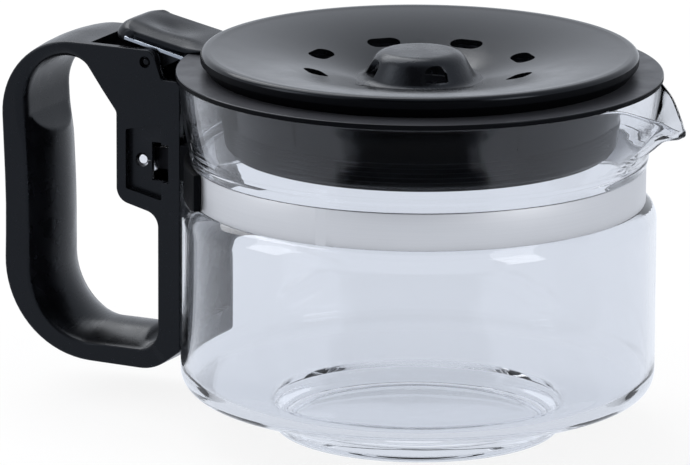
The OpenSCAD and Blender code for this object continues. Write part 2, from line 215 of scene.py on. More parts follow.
# The flange's top: satin black plastic painted dark grey as painted light on its upward face.
PAINTED_LIGHT_FLANGE = plastic("painted_light_flange_top", (0.036, 0.037, 0.042), (0.042, 0.043, 0.049), (0.30, 0.42),
               1500.0, 0.000015, (0.050, 0.051, 0.058), 0.13)
DISH = plastic("satin_black_dish", (0.0014, 0.0015, 0.0020), (0.0026, 0.0028, 0.0036), (0.14, 0.20),
               2200.0, 0.00002, (0.0050, 0.0052, 0.0064), 0.16)
GRAINED = plastic("grained_black_plastic", (0.0018, 0.0019, 0.0025), (0.0040, 0.0042, 0.0054), (0.22, 0.34),
                  1100.0, 0.00010, (0.0060, 0.0062, 0.0075), 0.23)
SHOE = plastic("matt_black_plastic", (0.0014, 0.0015, 0.0020), (0.0022, 0.0023, 0.0030), (0.45, 0.60),
               1700.0, 0.00003, (0.0030, 0.0032, 0.0040), 0.04)
POLISHED = plastic("polished_black_plastic", (0.0014, 0.0015, 0.0020), (0.0024, 0.0025, 0.0032), (0.10, 0.16),
                   1500.0, 0.000008, (0.0050, 0.0052, 0.0064), 1.0, 2.4)
SATIN = steel("satin_steel_strip", (0.62, 0.62, 0.63), (0.40, 0.52), (0.25, 0.25, 60.0), 0.000012)
BRIGHT = steel("bright_steel_parts", BRIGHT_STEEL, (0.16, 0.30), (20.0, 1.0, 20.0), 0.000012)
# The band's ears: steel coloured black as painted shade, deep in the handle's bracket.
SHADED_EAR_STEEL = steel("painted_shade_ear_steel", PAINTED_SHADE_STEEL, (0.35, 0.5), (1.0, 1.0, 20.0), 0.000012)
# The nut: black as painted shade, bright only in a band as a painted highlight.
SHADED_NUT_STEEL = shaded_steel_with_highlight("painted_shade_nut_steel", 74.6, 2.2)
CLEAR = glass("clear_jug_glass")


# Mesh helpers

def piece(name, bm, mat, body, slot, *nodes, sharp_deg=40.0):
    """Turns a bmesh into a piece that rides on a body and stands for CAD nodes."""
    bmesh.ops.recalc_face_normals(bm, faces=bm.faces)
    for face in bm.faces:
        face.smooth = abs(face.normal.y) < 0.9999
    for edge in bm.edges:
        edge.smooth = edge.calc_face_angle(0.0) < math.radians(sharp_deg)
    mesh = bpy.data.meshes.new(name)
    bm.to_mesh(mesh)
    bm.free()
    mesh.materials.append(mat)
    obj = bpy.data.objects.new(name, mesh)
    SCENE.collection.objects.link(obj)
    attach(obj, body)
    if nodes:
        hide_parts(*nodes)
    return obj


def from_cad(node, round_mm, steps, sharp_deg=32.0):
    """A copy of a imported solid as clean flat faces, with its hard edges rounded over."""
    bm = bmesh.new()
    bm.from_mesh(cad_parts[node].data)
    for layer in list(bm.loops.layers.float_vector.values()):
        bm.loops.layers.float_vector.remove(layer)
    bmesh.ops.remove_doubles(bm, verts=bm.verts, dist=1e-6)
    bmesh.ops.dissolve_limit(bm, angle_limit=math.radians(0.5), verts=bm.verts, edges=bm.edges)
    sharp = math.radians(sharp_deg)
    hard = [e for e in bm.edges if len(e.link_faces) == 2 and e.calc_face_angle(0.0) > sharp]
    bmesh.ops.bevel(bm, geom=hard, offset=round_mm * MM, offset_type="OFFSET", segments=steps,
                    profile=0.5, affect="EDGES", clamp_overlap=False)
    return bm


def turned(profile, angles, place=None):
    """Revolves an open profile of (r, z) in mm that starts and ends on the axis, or a closed one off it."""
    bm = bmesh.new()
    rings = []
    for r, z in profile:
        if r < 1e-6:
            rings.append([bm.verts.new((0, 0, z * MM))])
        else:
            ring = []
            for a in angles:
                rr, zz = place(r, z, a) if place else (r, z)
                ring.append(bm.verts.new((rr * math.cos(a) * MM, rr * math.sin(a) * MM, zz * MM)))
            rings.append(ring)
    count = len(angles)
    closed = len(rings[0]) > 1
    for i in range(len(rings) - (0 if closed else 1)):
        a, b = rings[i], rings[(i + 1) % len(rings)]
        for k in range(count):
            j = (k + 1) % count
            if len(a) == 1:
                bm.faces.new((a[0], b[k], b[j]))
            elif len(b) == 1:
                bm.faces.new((a[k], b[0], a[j]))
            else:
                bm.faces.new((a[k], b[k], b[j], a[j]))
    return bm


def rounded(corners, closed=False, step_deg=9.0):
    """Polyline through (r, z, radius) corners with each corner rounded."""
    points, n = [], len(corners)
    for i, (x, z, radius) in enumerate(corners):
        if radius == 0 or (not closed and i in (0, n - 1)):
            points.append((x, z))
            continue
        b = Vector((x, z))
        to_a = (Vector(corners[i - 1][:2]) - b).normalized()
        to_c = (Vector(corners[(i + 1) % n][:2]) - b).normalized()
        half = to_a.angle(to_c) / 2
        centre = b + (to_a + to_c).normalized() * (radius / math.sin(half))
        start = b + to_a * (radius / math.tan(half)) - centre
        turn = math.pi - 2 * half
        if to_a.x * to_c.y - to_a.y * to_c.x > 0:
            turn = -turn
        steps = max(2, round(abs(math.degrees(turn)) / step_deg))
        for k in range(steps + 1):
            t = turn * k / steps
            points.append((centre.x + start.x * math.cos(t) - start.y * math.sin(t),
                           centre.y + start.x * math.sin(t) + start.y * math.cos(t)))
    return points


def fine(points, longest):
    """Adds points so that no step of a polyline is longer than asked."""
    out = [points[0]]
    for (x0, z0), (x1, z1) in zip(points, points[1:]):
        steps = max(1, math.ceil(math.hypot(x1 - x0, z1 - z0) / longest))
        out += [(x0 + (x1 - x0) * k / steps, z0 + (z1 - z0) * k / steps) for k in range(1, steps + 1)]
    return out


def table(rows, x):
    """Smooth value at x of a table of (x, value) rows."""
    if x <= rows[0][0]:
        return rows[0][1]
    for i in range(len(rows) - 1):
        (x0, y0), (x1, y1) = rows[i], rows[i + 1]
        if x <= x1:
            before = rows[i - 1] if i else (2 * x0 - x1, y1)
            after = rows[i + 2] if i + 2 < len(rows) else (2 * x1 - x0, y1)
            m0 = (y1 - before[1]) / (x1 - before[0]) * (x1 - x0)
            m1 = (after[1] - y0) / (after[0] - x0) * (x1 - x0)
            t = (x - x0) / (x1 - x0)
            return ((2 * t ** 3 - 3 * t ** 2 + 1) * y0 + (t ** 3 - 2 * t ** 2 + t) * m0
                    + (3 * t ** 2 - 2 * t ** 3) * y1 + (t ** 3 - t ** 2) * m1)
    return rows[-1][1]


def closed_line(corners, longest):
    """Closed outline of rounded corners with short steps, its last point not repeated."""
    points = rounded(corners, True, 5.0)
    return fine(points + points[:1], longest)[:-1]


def ramp(x, start, end):
    """Goes smoothly from 0 at start to 1 at end."""
    t = min(1.0, max(0.0, (x - start) / (end - start)))
    return t * t * (3 - 2 * t)


# Width of the flat strip that keeps a wall's rounded edge crisp
SUPPORT = 0.15


def wall(bm, line, half, edge, swell, across):
    """A wall round a closed outline, from its near face's edge over rounded edges to its far face's.

    edge(x, z) is the edge's radius and swell(x, z, t) how far the wall stands out at t across it.
    The material lies left of the line.
    """
    n = len(line)
    rows = []
    turn = [k / 5 * math.pi / 2 for k in range(6)]
    for i, (x, z) in enumerate(line):
        (xa, za), (xb, zb) = line[i - 1], line[(i + 1) % n]
        along = Vector((xb - xa, zb - za)).normalized()
        nx, nz = -along.y, along.x
        r = edge(x, z)
        bend = [(r * (1 - math.sin(f)), r * (1 - math.cos(f))) for f in turn]
        row = [(r + SUPPORT, -half)] + [(d, y - half) for d, y in bend]
        for k in range(1, across):
            t = 2 * k / across - 1
            row.append((-swell(x, z, t), t * (half - r)))
        row += [(d, half - y) for d, y in reversed(bend)] + [(r + SUPPORT, half)]
        rows.append([bm.verts.new(((x + nx * d) * MM, y * MM, (z + nz * d) * MM)) for d, y in row])
    for i in range(n):
        a, b = rows[i], rows[(i + 1) % n]
        for k in range(len(a) - 1):
            bm.faces.new((a[k], a[k + 1], b[k + 1], b[k]))
    return [[rows[i][k] for i in range(n)] for k in (0, -1)]


def fill_between(bm, *rings):
    """Fills the flat face that the rings bound."""
    edges = [bm.edges.get((ring[i - 1], ring[i])) for ring in rings for i in range(len(ring))]
    bmesh.ops.triangle_fill(bm, use_beauty=True, use_dissolve=False, edges=edges)


def prism(line, y0, y1):
    """A plain slab of an outline in x and z between two places in y."""
    bm = bmesh.new()
    near = [bm.verts.new((x * MM, y0 * MM, z * MM)) for x, z in line]
    far = [bm.verts.new((x * MM, y1 * MM, z * MM)) for x, z in line]
    bm.faces.new(near)
    bm.faces.new(far[::-1])
    for i in range(len(line)):
        bm.faces.new((near[i - 1], far[i - 1], far[i], near[i]))
    bmesh.ops.recalc_face_normals(bm, faces=bm.faces)
    return bm


def ring_line(x, z, radius, steps=40):
    return [(x + radius * math.cos(2 * math.pi * k / steps), z + radius * math.sin(2 * math.pi * k / steps))
            for k in range(steps)]


def cut(bm, *cutters):
    """Takes solids away from a bmesh one after another."""
    bmesh.ops.recalc_face_normals(bm, faces=bm.faces)
    for cutter in cutters:
        pair = []
        for part in (bm, cutter):
            mesh = bpy.data.meshes.new("working")
            part.to_mesh(mesh)
            part.free()
            obj = bpy.data.objects.new("working", mesh)
            SCENE.collection.objects.link(obj)
            pair.append(obj)
        change = pair[0].modifiers.new("cut", "BOOLEAN")
        change.operation, change.solver, change.object = "DIFFERENCE", "EXACT", pair[1]
        seen = pair[0].evaluated_get(bpy.context.evaluated_depsgraph_get())
        bm = bmesh.new()
        bm.from_mesh(seen.to_mesh())
        seen.to_mesh_clear()
        for obj in pair:
            mesh = obj.data
            bpy.data.objects.remove(obj)
            bpy.data.meshes.remove(mesh)
    return bm


EVEN = [math.radians(d * 2.0) for d in range(180)]

# Glass jug

# The spout's tables run from SPOUT_LOW to SPOUT_TOP and are stretched up to the rim
SPOUT_LOW, SPOUT_TOP = 86.0, 108.0
RIM = 110.4
NECK_OUT, NECK_IN = 69.1, 66.9
# How far the neck opens out above the band, by height
NECK_FLARE = [(83.6, 0.0), (86.5, 0.6), (90, 1.5), (96, 2.6), (103, 3.4), (110.4, 3.9)]
# How much thinner its wall gets there
NECK_THIN = [(83.6, 0.0), (92, 0.7), (110.4, 1.2)]
# How far the neck is drawn out, and how far it drops, at each angle from the pouring line
SPOUT_REACH = [(0, 1.0), (1.3, 0.928), (2.7, 0.837), (4.1, 0.732), (5.5, 0.647), (7, 0.562), (8.6, 0.477),
               (10.2, 0.386), (11.9, 0.285), (13.8, 0.192), (16.5, 0.105), (19.5, 0.047), (22.5, 0.016),
               (26, 0.0)]
SPOUT_DROP = [(0, 1.0), (1.3, 0.97), (2.7, 0.83), (4.1, 0.64), (5.5, 0.51), (7, 0.41), (8.6, 0.30),
              (10.2, 0.19), (11.9, 0.08), (13.8, 0.02), (16.5, 0.0)]
# The spout's outer and inner line on the pouring line, by height on the plain neck
SPOUT_OUT_R = [(86, 69.1), (89.3, 69.9), (92.6, 72.2), (95.9, 75.6), (98.8, 78.4), (101.4, 80.9), (104, 84.0),
               (106.2, 86.6), (107.3, 88.0), (108, 88.2)]
SPOUT_OUT_Z = [(86, 86), (89.3, 88.6), (92.6, 91.0), (95.9, 93.3), (98.8, 95.6), (101.4, 97.8), (104, 98.7),
               (106.2, 99.3), (107.3, 100.4), (108, 101.9)]
SPOUT_IN_R = [(86, 66.9), (89.3, 68.5), (92.6, 71.2), (95.9, 74.65), (98.8, 77.4), (101.4, 80.1), (104, 83.6),
              (106.2, 86.0), (107.3, 87.0), (108, 87.3)]
SPOUT_IN_Z = [(86, 86), (89.3, 89.4), (92.6, 92.2), (95.9, 94.6), (98.8, 96.8), (101.4, 99.2), (104, 100.25),
              (106.2, 100.75), (107.3, 101.6), (108, 102.2)]
JUG_OUT = [(0, 1.1, 0), (37.6, 0.9, 1.0), (39.4, 0.0, 1.0), (44.0, 0.0, 1.8), (44.0, 6.0, 1.6),
           (72.5, 13.8, 6.8), (72.5, 69.7, 6.6), (69.1, 72.1, 0.5), (68.45, 72.15, 0.1), (68.45, 83.55, 0.1),
           (69.4, 83.55, 0.5), (69.4, 86.0, 0.8), (69.1, 86.9, 0.6), (69.1, RIM, 1.05), (66.9, RIM, 1.05)]
JUG_IN = [(66.9, 72.4, 5.0), (70.3, 67.8, 6.6), (70.3, 16.2, 6.0), (44.5, 8.8, 8.0), (38.5, 3.2, 7.0),
          (0, 3.1, 0)]


def jug_place(r, z, angle):
    """Opens the neck out towards its rim and draws it out into the spout near the pouring line."""
    if z < NECK_FLARE[0][0]:
        return r, z
    out = min(1.0, max(0.0, (r - NECK_IN) / (NECK_OUT - NECK_IN)))
    flare = table(NECK_FLARE, z) + (1 - out) * table(NECK_THIN, z)
    if z < SPOUT_LOW:
        return r + flare, z
    away = abs(math.degrees(math.atan2(math.sin(angle), math.cos(angle))))
    reach, drop = table(SPOUT_REACH, away), table(SPOUT_DROP, away)
    key = SPOUT_LOW + (z - SPOUT_LOW) * (SPOUT_TOP - SPOUT_LOW) / (RIM - SPOUT_LOW)
    spout_r = (1 - out) * table(SPOUT_IN_R, key) + out * table(SPOUT_OUT_R, key)
    spout_z = (1 - out) * table(SPOUT_IN_Z, key) + out * table(SPOUT_OUT_Z, key)
    rest_r = (1 - out) * NECK_IN + out * NECK_OUT
    return r + (1 - reach) * flare + reach * (spout_r - rest_r), z + drop * (spout_z - z)


jug_profile = fine(rounded(JUG_OUT + JUG_IN), 1.6)
# steps of half a degree round the spout and of two degrees elsewhere
jug_angles = [math.radians(d / 2) for d in range(-60, 60)] + [math.radians(d) for d in range(30, 330, 2)]
piece("jug_glass", turned(jug_profile, jug_angles, jug_place), CLEAR, "jug", "clear_glass", "glass_jug",
      sharp_deg=80.0)

# Loop handle: drawn from its two outlines, with soft edges, a swollen grip and a hollow bracket

HALF_W = 16.0
CHEEK = 13.6
HANDLE_OUT = [(-83.2, 112.1, 3.4), (-136.9, 112.1, 24.5), (-134.7, 58.0, 300.0), (-135.8, 11.6, 29.5),
              (-83.0, 11.0, 14.0), (-73.6, 18.0, 2.0), (-73.6, 103.2, 1.8), (-80.0, 103.3, 1.2)]
HANDLE_IN = [(-128.6, 107.0, 15.0), (-107.4, 107.0, 6.0), (-95.8, 91.6, 2.5), (-95.8, 64.0, 5.0),
             (-81.4, 60.4, 5.0), (-81.4, 17.0, 7.0), (-126.3, 17.0, 21.0), (-126.3, 58.0, 300.0)]
HOLLOW = [(-60.0, 130.0, 0), (-105.7, 130.0, 0), (-105.7, 108.0, 0), (-94.1, 92.6, 2.0), (-94.1, 66.0, 4.0),
          (-79.3, 62.6, 2.0), (-79.3, 25.8, 2.0), (-60.0, 25.8, 0)]
RECESS = [(-92.4, 67.85, 0.6), (-92.4, 86.55, 0.6), (-80.0, 89.45, 0.6), (-80.0, 65.15, 0.6)]
WINDOW = [(-85.5, 70.85), (-77.6, 70.85), (-77.6, 82.85), (-85.5, 82.85)]
# How far from the middle the recess's floor, the pin's end recesses and the screw head's seat lie
RECESS_FLOOR, PIN_END, HEAD_SEAT = 11.95, 14.3, 13.9
PIN_X, PIN_Z, PIN_BORE, PIN_END_R = -85.7, 108.3, 1.26, 1.85
SCREW_X, SCREW_Z, SCREW_BORE, HEAD_R = -88.0, 76.85, 1.65, 3.1
OVERRUN = 30.0
# Edge radii: plain, and what is added on the loop and under its crown
OUTER_EDGE, OUTER_EDGE_MORE = 0.45, 0.3
INNER_EDGE, INNER_EDGE_MORE, ARCH_EDGE_MORE = 0.55, 0.55, 2.2
# How far the crown and the grip stand out, and the round scoop for the first finger
CROWN_SWELL, GRIP_SWELL = 0.9, 4.6
FINGER_X, FINGER_Z, FINGER_R = -113.7, 92.0, 15.0
# Where along x or z each change of edge or swell starts and ends
OUTER_EDGE_X, INNER_EDGE_X = (-103.0, -112.0), (-100.0, -108.0)
ARCH_X, ARCH_Z = (-107.0, -114.0), (74.0, 88.0)
CROWN_X, CROWN_Z = (-104.0, -118.0), (70.0, 92.0)
PALM_X = (-81.5, -90.0)
# The grip's swell stays below a height and behind two places in x, one for the bracket and one above the palm
SWELL_TOP, SWELL_FRONT, PALM_TOP, GRIP_FRONT = 95.0, -82.0, 40.0, -115.0


def outer_edge(x, z):
    return OUTER_EDGE + OUTER_EDGE_MORE * ramp(x, *OUTER_EDGE_X)


def inner_edge(x, z):
    arch = ramp(x, *ARCH_X) * ramp(z, *ARCH_Z)
    return INNER_EDGE + INNER_EDGE_MORE * ramp(x, *INNER_EDGE_X) + ARCH_EDGE_MORE * arch


def outer_swell(x, z, t):
    return CROWN_SWELL * ramp(x, *CROWN_X) * ramp(z, *CROWN_Z) * (1 - t * t)


def inner_swell(x, z, t):
    """The grip's swell, cut off by the finger's scoop and faded out at the foot of the bracket."""
    if z > SWELL_TOP or x > SWELL_FRONT:
        return 0.0
    high = GRIP_SWELL * (1 - t * t) * ramp(x, *PALM_X)
    if z > PALM_TOP:
        if x > GRIP_FRONT:
            return 0.0
        across = FINGER_R ** 2 - (z - FINGER_Z) ** 2
        if across > 0:
            high = min(high, max(0.0, FINGER_X - math.sqrt(across) - x))
    return high


def make_handle():
    bm = bmesh.new()
    out_near, out_far = wall(bm, closed_line(HANDLE_OUT, 0.9), HALF_W, outer_edge, outer_swell, 10)
    in_near, in_far = wall(bm, closed_line(HANDLE_IN, 0.7), HALF_W, inner_edge, inner_swell, 28)
    fill_between(bm, out_near, in_near)
    fill_between(bm, out_far, in_far)
    pin_end = ring_line(PIN_X, PIN_Z, PIN_END_R)
    return cut(bm, prism(closed_line(HOLLOW, 2.0), -CHEEK, CHEEK),
               prism(closed_line(RECESS, 3.0), -OVERRUN, -RECESS_FLOOR),
               prism(WINDOW, -OVERRUN, -RECESS_FLOOR),
               prism(ring_line(PIN_X, PIN_Z, PIN_BORE), -OVERRUN, OVERRUN),
               prism(pin_end, -OVERRUN, -PIN_END),
               prism(pin_end, PIN_END, OVERRUN),
               prism(ring_line(SCREW_X, SCREW_Z, SCREW_BORE), 0.0, OVERRUN),
               prism(ring_line(SCREW_X, SCREW_Z, HEAD_R), HEAD_SEAT, OVERRUN))


piece("loop_handle", make_handle(), BLACK, "jug", "black_plastic", "handle")

# Lid ring: a turned flange with the thumb lever, its side ribs, the web below it and the hinge knuckle

FLANGE = [(59.1, 110.6, 0.2), (73.25, 110.6, 0.1), (73.3, 109.9, 0.1), (74.0, 109.9, 0.3), (74.0, 111.5, 0.4),
          (59.1, 111.5, 0.2)]
# Below these upward slopes of a face lie the flange's edge and its corner
FLANGE_EDGE, FLANGE_CORNER = 0.4, 0.98
LEVER_FRONT, LEVER_REAR = (-73.7, 110.5), (-93.9, 112.9)
LEVER = [(-64.4, 112.4, 0), (-96.6, 119.0, 3.6), (-98.9, 116.5, 1.4), (-98.7, 113.0, 0.7), (*LEVER_REAR, 0.6),
         (*LEVER_FRONT, 0), (-64.4, 110.5, 0)]
# Its half width, the corners it has in plan, how far its near side falls and how much its sides lean in
LEVER_HALF, LEVER_CORNER, LEVER_FALL, LEVER_LEAN = 12.3, 5.0, 1.5, 0.06
# Heights over its underside between which its side turns into its top
LEVER_SIDE = (0.8, 2.2)
# Edge radius: plain, what its top adds and what its rear takes off again
LEVER_EDGE, LEVER_EDGE_MORE, LEVER_EDGE_LESS = 0.35, 0.75, 0.3
# The top's rise across it, and the thumb hollow's place along x and across, its length, width and depth
LEVER_RISE = 0.35
THUMB_X, THUMB_T, THUMB_LENGTH, THUMB_WIDTH, THUMB_DEPTH = -84.5, 0.1, 7.5, 0.55, 1.5
# Where along x or y each change starts and ends
EDGE_X, REAR_X, TOP_X, CORNER_X = (-66, -74), (-94, -97.5), (-67, -76), (-89.5, -98.0)
FALL_X, FALL_Y = (-66, -76), (5.0, 13.5)
LEDGE = [(-94.2, 114.5, 0.2), (-73.7, 109.9, 0), (-73.7, 110.9, 0), (-94.2, 115.45, 0.2)]
# The ribs' half width and edge radius, how steeply they fall outwards, and from where
LEDGE_HALF, LEDGE_EDGE, LEDGE_FALL, LEDGE_FALL_FROM = 13.4, 0.12, 0.27, 11.8
WEB = [(-89.7, 108.3), (-89.7, 112.6), (-72.7, 110.9), (-72.7, 109.7), (-75.4, 109.6), (-85.7, 104.3)]
WEB_HALF, WEB_BORE = 11.5, 2.4
KNUCKLE, KNUCKLE_HALF, KNUCKLE_EDGE = 4.0, 13.3, 0.3
KNUCKLE_BORE, KNUCKLE_BORE_EDGE = 1.3, 0.15


def over_lever(x, z):
    """How far up the lever's side a point lies, from 0 on its underside to 1 on its top."""
    low = LEVER_FRONT[1] + (LEVER_REAR[1] - LEVER_FRONT[1]) * ramp(x, LEVER_FRONT[0], LEVER_REAR[0])
    return ramp(z, low + LEVER_SIDE[0], low + LEVER_SIDE[1])


def lever_edge(x, z):
    more = LEVER_EDGE_MORE - LEVER_EDGE_LESS * ramp(x, *REAR_X)
    return LEVER_EDGE + over_lever(x, z) * ramp(x, *EDGE_X) * more


def lever_swell(x, z, t):
    """A shallow hollow for the thumb, nearer the far side, with a low rise along the near side."""
    up = over_lever(x, z) * ramp(x, *TOP_X)
    hollow = math.exp(-((x - THUMB_X) / THUMB_LENGTH) ** 2 - ((t - THUMB_T) / THUMB_WIDTH) ** 2)
    return up * (LEVER_RISE * (1 - t * t) - THUMB_DEPTH * hollow)


def solid_wall(bm, line, half, edge, swell, across):
    near, far = wall(bm, line, half, edge, swell, across)
    fill_between(bm, near)
    fill_between(bm, far)


def flat(x, z, t):
    return 0.0


def join(bm, other):
    mesh = bpy.data.meshes.new("working")
    other.to_mesh(mesh)
    other.free()
    bm.from_mesh(mesh)
    bpy.data.meshes.remove(mesh)


def make_lever():
    bm = bmesh.new()
    solid_wall(bm, closed_line(LEVER, 0.7), LEVER_HALF, lever_edge, lever_swell, 24)
    for vert in bm.verts:
        # its rear corners are rounded in plan, its top falls to the near side, and its sides lean in below
        x, y, z = (c / MM for c in vert.co)
        past = max(0.0, abs(y) - (LEVER_HALF - LEVER_CORNER))
        set_in = LEVER_CORNER - math.sqrt(max(0.0, LEVER_CORNER ** 2 - past ** 2))
        top = over_lever(x, z)
        vert.co.x += set_in * ramp(x, *CORNER_X) * MM
        vert.co.y *= 1 - LEVER_LEAN * (1 - top)
        vert.co.z -= LEVER_FALL * top * ramp(-y, *FALL_Y) * ramp(x, *FALL_X) * MM
    join(bm, make_knuckle())
    web = prism(WEB, -WEB_HALF, WEB_HALF)
    join(bm, cut(web, prism(ring_line(PIN_X, PIN_Z, WEB_BORE), -OVERRUN, OVERRUN)))
    return bm


def make_knuckle():
    bm = bmesh.new()
    outside = ring_line(PIN_X, PIN_Z, KNUCKLE, 48)
    bore = ring_line(PIN_X, PIN_Z, KNUCKLE_BORE, 32)[::-1]
    out_near, out_far = wall(bm, outside, KNUCKLE_HALF, lambda x, z: KNUCKLE_EDGE, flat, 2)
    in_near, in_far = wall(bm, bore, KNUCKLE_HALF, lambda x, z: KNUCKLE_BORE_EDGE, flat, 2)
    fill_between(bm, out_near, in_near)
    fill_between(bm, out_far, in_far)
    return bm


def make_ledge():
    """The ribs along both sides of the lever, their tops leaning outwards."""
    bm = bmesh.new()
    solid_wall(bm, closed_line(LEDGE, 1.5), LEDGE_HALF, lambda x, z: LEDGE_EDGE, flat, 40)
    for vert in bm.verts:
        vert.co.z -= LEDGE_FALL * max(0.0, abs(vert.co.y) - LEDGE_FALL_FROM * MM)
    return bm


flange_line = fine(rounded(FLANGE, True), 2.0)
flange = piece("lid_flange", turned(flange_line, EVEN), PAINTED_LIGHT_FLANGE, "lid", "black_gloss", "lid_ring")
flange.data.materials.append(SHOE)
flange.data.materials.append(GLOSS)
for face in flange.data.polygons:
    # its top is painted grey as painted light, its edge keeps the matt black, with a glossy corner between
    # them
    if face.normal.z < FLANGE_EDGE:
        face.material_index = 1
    elif face.normal.z < FLANGE_CORNER:
        face.material_index = 2
piece("thumb_lever", make_lever(), BLACK, "lid", "black_gloss")
piece("lever_ribs", make_ledge(), POLISHED, "lid", "black_gloss")

# Skirt below the flange, with fine ribs round its lower half and four upright lugs

SKIRT_TOP, SKIRT_LOW = (61.3, 110.7), (58.7, 87.4)
SKIRT_T = 2.0
SKIRT_STEPS = 150
# How far its foot is cut off outside, at the outer corner and inside
FOOT_OUT, FOOT_CORNER, FOOT_IN = 0.5, 0.15, 0.3
RIB_FROM, RIB_TO, RIB_PITCH, RIB_OUT = 88.2, 97.2, 1.5, 0.5
LUG_ANGLES = (-34.5, -103.0, 145.5, 77.0)
LUG_W, LUG_LOW, LUG_TOP, LUG_OUT, LUG_ROOT, LUG_EDGE = 2.3, 98.6, 110.6, 0.7, 1.0, 0.4


def skirt_r(z):
    return SKIRT_LOW[0] + (SKIRT_TOP[0] - SKIRT_LOW[0]) * (z - SKIRT_LOW[1]) / (SKIRT_TOP[1] - SKIRT_LOW[1])


def make_lug(angle):
    bm = bmesh.new()
    outline = [(skirt_r(LUG_LOW) + LUG_OUT, LUG_LOW, 0.5), (skirt_r(LUG_TOP) + LUG_OUT, LUG_TOP, 0),
               (skirt_r(LUG_TOP) - LUG_ROOT, LUG_TOP, 0), (skirt_r(LUG_LOW) - LUG_ROOT, LUG_LOW, 0.5)]
    solid_wall(bm, closed_line(outline, 2.0), LUG_W / 2, lambda x, z: LUG_EDGE, flat, 4)
    bm.transform(Matrix.Rotation(math.radians(angle), 4, "Z"))
    return bm


def make_skirt():
    low, top = SKIRT_LOW[1], SKIRT_TOP[1]
    outside = []
    for k in range(SKIRT_STEPS + 1):
        z = low + FOOT_OUT + (top - low - FOOT_OUT) * k / SKIRT_STEPS
        rib = 0.0
        if RIB_FROM < z < RIB_TO:
            rib = RIB_OUT * 0.5 * (1 - math.cos(2 * math.pi * (z - RIB_FROM) / RIB_PITCH))
        outside.append((skirt_r(z) + rib, z))
    r_out = skirt_r(low)
    r_in = r_out - SKIRT_T
    foot = [(r_in, low + FOOT_IN), (r_in + FOOT_IN, low), (r_out - FOOT_OUT, low),
            (r_out - FOOT_CORNER, low + FOOT_CORNER)]
    bm = turned([(skirt_r(top) - SKIRT_T, top)] + foot + outside, EVEN)
    for angle in LUG_ANGLES:
        join(bm, make_lug(angle))
    return bm


piece("neck_skirt", make_skirt(), COLLAR, "lid", "black_gloss", "lid_skirt")

# Dish: a shallow bowl with a rolled lip on a short tapered drum, eight slots and a seat for the cap

BOWL_IN, BOWL_OUT, BOWL_Z, BOWL_DEPTH, BOWL_CURVE = 19.0, 63.4, 109.2, 8.5, 0.64
BOWL_STEPS = 40
CAP_HOLE = 16.4
DISH_T = 1.6
# The drum's inner radius and its foot, and where the bowl ends below the lip
DRUM_IN, DRUM_LOW, BOWL_END = 59.0, 111.4, BOWL_OUT - 1.2
LIP = [(63.9, DRUM_LOW, 0), (66.5, 114.6, 0.6), (66.5, 117.8, 1.7), (63.6, 117.8, 0.6)]
SLOT_R, SLOT_L, SLOT_W, SLOT_COUNT = 33.2, 10.5, 6.0, 8
SLOT_LOW, SLOT_TOP = 90.0, 130.0
# The drum's faces lie outside this radius and rise less than this
DRUM_FROM, DRUM_STEEP = 62.0, 0.3


def bowl(r):
    x = min(1.0, max(0.0, (r - BOWL_IN) / (BOWL_OUT - BOWL_IN)))
    return BOWL_Z + BOWL_DEPTH * x * (1 + BOWL_CURVE * (1 - x))


def slot_cutter(angle):
    half = (SLOT_L - SLOT_W) / 2
    turns = [math.pi * k / 16 for k in range(33)]
    arc = [(SLOT_W / 2 * math.cos(turn), SLOT_W / 2 * math.sin(turn)) for turn in turns]
    line = [(SLOT_R + x, half + y) for x, y in arc[:17]] + [(SLOT_R + x, y - half) for x, y in arc[16:]]
    bm = prism(line, -SLOT_TOP, -SLOT_LOW)
    bm.transform(Matrix.Rotation(math.radians(angle), 4, "Z") @ Matrix.Rotation(math.radians(-90), 4, "X"))
    bmesh.ops.recalc_face_normals(bm, faces=bm.faces)
    return bm


def make_dish():
    lip = rounded(LIP + [(BOWL_END, bowl(BOWL_END), 0)])
    steps = [k / BOWL_STEPS for k in range(BOWL_STEPS + 1)]
    inside = [BOWL_END - (BOWL_END - BOWL_IN) * step for step in steps[1:]]
    below = [BOWL_IN + (DRUM_IN - BOWL_IN) * step for step in steps]
    profile = (lip + [(r, bowl(r)) for r in inside] + [(CAP_HOLE, BOWL_Z), (CAP_HOLE, BOWL_Z - DISH_T)]
               + [(r, bowl(r) - DISH_T) for r in below] + [(DRUM_IN, DRUM_LOW)])
    return cut(turned(profile, EVEN), *[slot_cutter(360.0 * k / SLOT_COUNT) for k in range(SLOT_COUNT)])


dish = piece("drip_dish", make_dish(), DISH, "lid", "black_gloss", "lid_dish")
dish.data.materials.append(SHOE)
for face in dish.data.polygons:
    # its drum is matt and darker than its bowl
    if face.normal.z < DRUM_STEEP and face.center.xy.length > DRUM_FROM * MM:
        face.material_index = 1

# Drip cap: a domed hollow boss that flares into the bowl, with four arched ports

CAP = [(0, 117.8, 0), (12.7, 117.6, 5.0), (17.2, 109.6, 2.4), (19.9, 109.1, 0), (16.2, 109.1, 0),
       (16.2, 106.8, 0.2), (14.7, 106.8, 0.2), (14.7, 110.3, 0.5), (11.3, 116.0, 2.4), (0, 116.0, 0)]
PORT_W, PORT_LOW, PORT_TOP, PORT_ROUND, PORT_FOOT = 7.2, 110.9, 115.7, 3.0, 0.3
PORT_FROM, PORT_TO = 8.0, 24.0
PORT_ANGLES = (45, 135, 225, 315)


def port_cutter(angle):
    half = PORT_W / 2
    arch = [(-half, PORT_LOW, PORT_FOOT), (-half, PORT_TOP, PORT_ROUND), (half, PORT_TOP, PORT_ROUND),
            (half, PORT_LOW, PORT_FOOT)]
    bm = prism(closed_line(arch, 2.0), PORT_FROM, PORT_TO)
    bm.transform(Matrix.Rotation(math.radians(angle - 90), 4, "Z"))
    return bm


